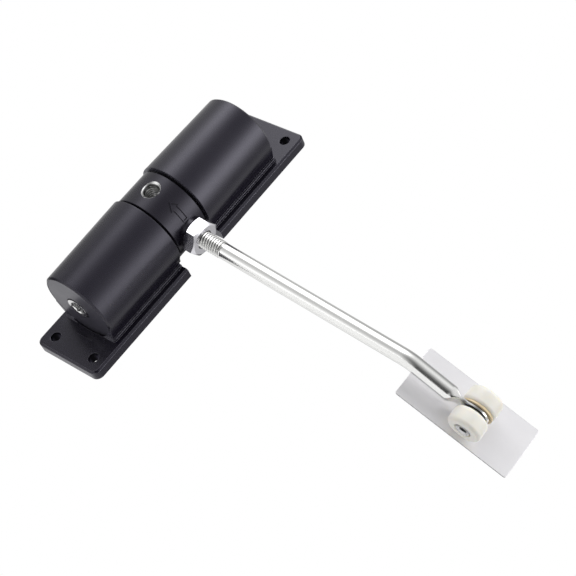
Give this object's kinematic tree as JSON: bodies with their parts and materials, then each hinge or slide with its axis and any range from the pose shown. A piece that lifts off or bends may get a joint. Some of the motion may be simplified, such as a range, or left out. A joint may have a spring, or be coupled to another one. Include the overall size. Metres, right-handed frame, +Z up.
{
  "type": "door closer",
  "caption": "Surface-mounted spring door closer: twin-barrel base plate, turning hub with a bent roller arm, and a wear plate.",
  "frame": {"origin": "middle of the base plate's back face, where it meets the door or frame", "axes": "+Y into the wall, out of the plate's back face; +Z up along the barrel axis, with the tension adjuster at the lower end; +X towards the arm's free position"},
  "size_m": [0.1962, 0.0859, 0.149],
  "materials": {
    "black_casting": "satin black paint on die-cast metal",
    "black_cap": "satin black paint",
    "black_hub": "satin black paint, bare metal in the threaded holes",
    "bronze": "sintered bronze",
    "zinc_plate": "bright zinc plate",
    "dark_steel": "black oxide",
    "bright_steel": "turned steel",
    "rivet_steel": "turned steel rivet",
    "spring_steel": "oiled spring steel",
    "polished_rod": "polished plated steel",
    "chrome_adjuster": "bright plated steel",
    "nylon": "cream moulded nylon",
    "wear_strip": "satin stainless strip",
    "foam_pad": "white adhesive foam"
  },
  "bodies": {
    "housing": {"body_casting": "black_casting", "lower_end_cap": "black_cap", "upper_end_cap": "black_cap", "lower_bush": "bronze", "upper_bush": "bronze", "lower_thrust_washer": "dark_steel", "upper_thrust_washer": "dark_steel", "upper_spring_anchor": "zinc_plate", "anchor_screw": "dark_steel", "lock_screw": "dark_steel"},
    "arm": {"hub": "black_hub", "spindle": "bright_steel", "hub_key": "bright_steel", "retaining_rings": "spring_steel", "arm_rod": "polished_rod", "lock_nut": "zinc_plate", "roller_axle": "rivet_steel", "lower_axle_washer": "dark_steel", "upper_axle_washer": "bronze", "lower_spring": "spring_steel", "upper_spring": "spring_steel"},
    "adjuster": {"tension_adjuster": "chrome_adjuster"},
    "lower_roller_body": {"lower_roller": "nylon"},
    "upper_roller_body": {"upper_roller": "nylon"},
    "wear_strip_body": {"wear_plate": "wear_strip", "adhesive_pad": "foam_pad"}
  },
  "joints": [
    {"name": "hub_swing", "type": "hinge", "parent": "housing", "child": "arm", "pos_m": [0, -0.01975, 0.00065], "axis": [0, 0, -1], "range_deg": [-25, 180], "stiffness_Nm_per_rad": 1.2, "deforming": ["lower_spring", "upper_spring"]},
    {"name": "tension_adjust", "type": "hinge", "parent": "housing", "child": "adjuster", "pos_m": [0, -0.01975, -0.05], "axis": [0, 0, -1], "range_deg": [0, 270], "deforming": ["lower_spring"]},
    {"name": "lower_roller_spin", "type": "hinge", "parent": "arm", "child": "lower_roller_body", "pos_m": [0.15922, 0.02655, 0.00065], "axis": [0, 0, 1], "continuous": true},
    {"name": "upper_roller_spin", "type": "hinge", "parent": "arm", "child": "upper_roller_body", "pos_m": [0.15922, 0.02655, 0.00065], "axis": [0, 0, 1], "continuous": true},
    {"name": "roller_travel", "type": "slide", "parent": "arm", "child": "wear_strip_body", "axis": [0.8563, 0.5165, 0], "range_m": [-0.02, 0.02]}
  ]
}
